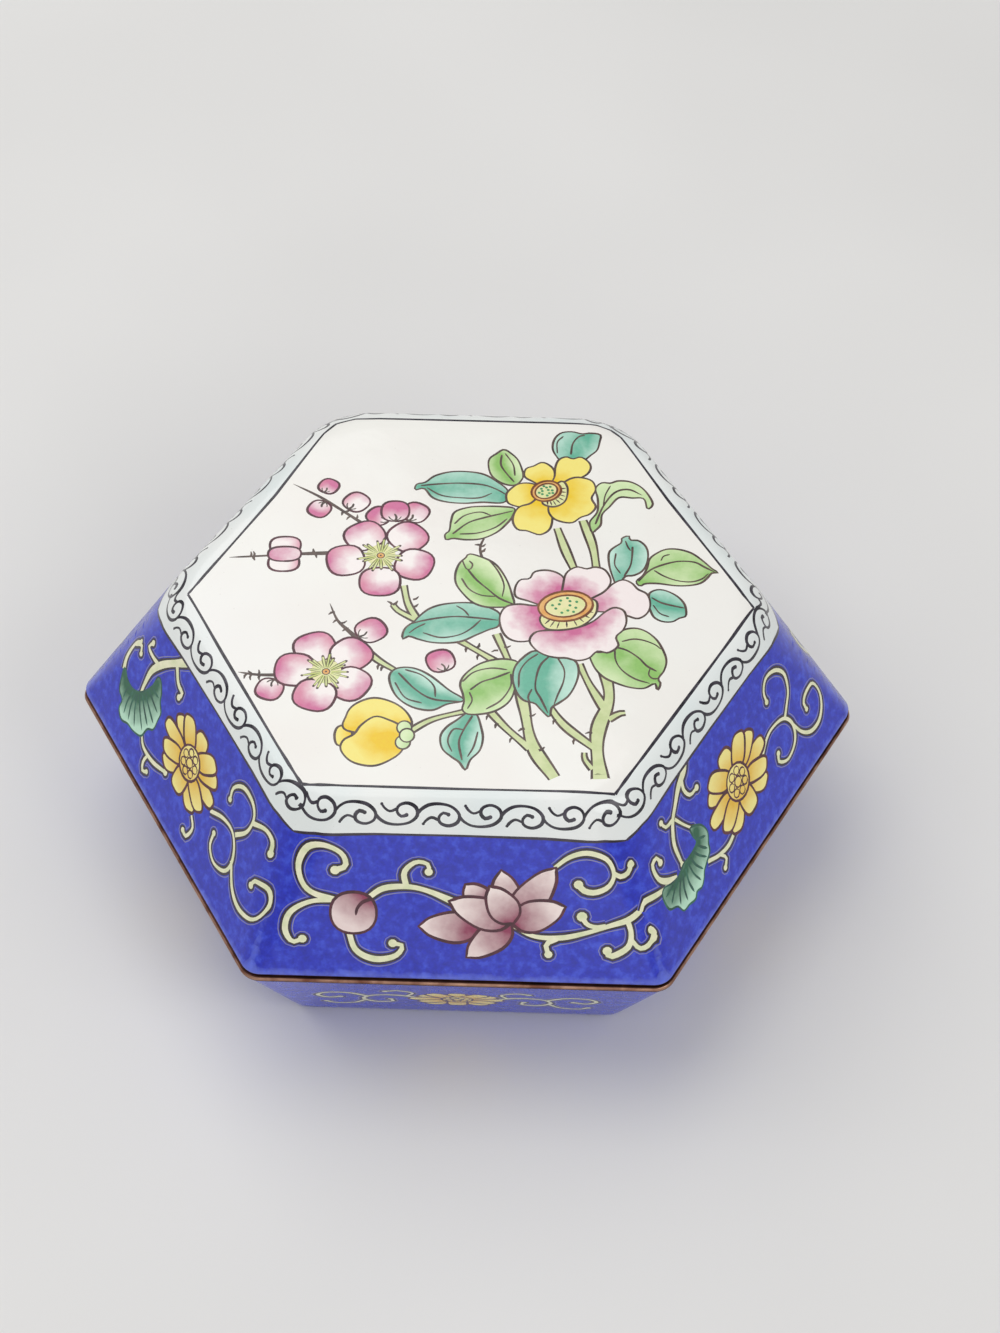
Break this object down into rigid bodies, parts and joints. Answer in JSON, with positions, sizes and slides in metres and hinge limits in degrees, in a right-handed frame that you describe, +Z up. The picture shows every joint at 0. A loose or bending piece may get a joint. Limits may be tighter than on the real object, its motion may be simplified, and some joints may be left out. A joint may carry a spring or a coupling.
{
  "type": "enamel trinket box",
  "caption": "Low six-sided enamelled copper box with a lift-off lid, its flat top painted with blossoms, its sloping sides blue with scrolls.",
  "frame": {"origin": "middle of the flat underside", "axes": "+Z up out of the lid, +X to a corner, -Y out of the front side"},
  "size_m": [0.1138, 0.0994, 0.0466],
  "materials": {
    "painted_enamel": "glossy painted enamel on copper",
    "blue_enamel": "glossy cobalt blue enamel on copper"
  },
  "bodies": {
    "root": {"lid": "painted_enamel", "base": "blue_enamel"}
  },
  "joints": []
}
